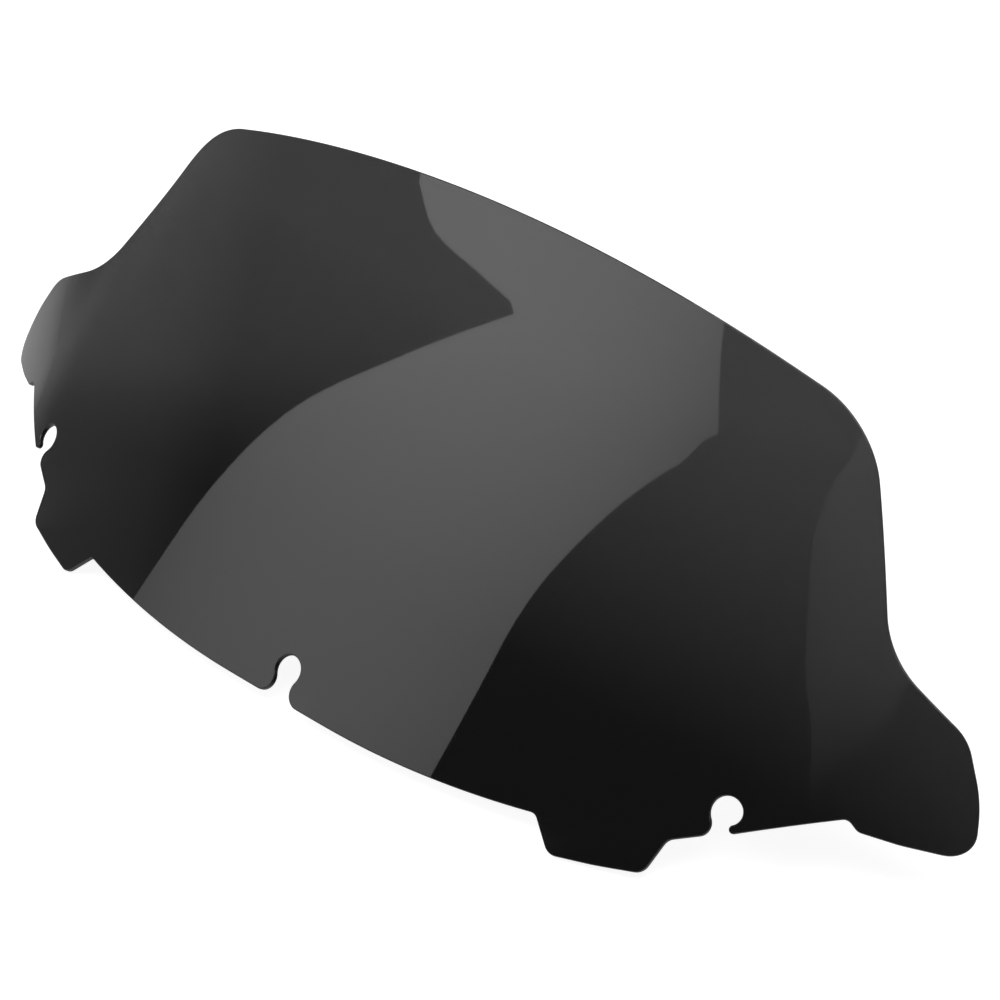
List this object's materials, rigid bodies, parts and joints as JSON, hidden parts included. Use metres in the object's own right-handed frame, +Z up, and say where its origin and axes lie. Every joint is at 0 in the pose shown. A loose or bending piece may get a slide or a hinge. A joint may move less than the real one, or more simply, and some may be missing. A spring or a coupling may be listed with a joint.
{
  "type": "motorcycle fairing windshield screen",
  "caption": "Dark smoked thermoformed windshield screen for a fairing, with flared wing tips, lower fixing tabs and open keyhole slots along its lower edge.",
  "frame": {"origin": "centre of the centre keyhole, halfway through the sheet", "axes": "+Z up and +Y rearwards to the rider, as fitted on the fairing; +X to the rider's left, along the screen's width"},
  "size_m": [0.5996, 0.151, 0.1977],
  "materials": {
    "smoked_sheet": "very glossy dark smoke that lets little light through, with routed satin edges"
  },
  "bodies": {
    "root": {"screen": "smoked_sheet"}
  },
  "joints": []
}
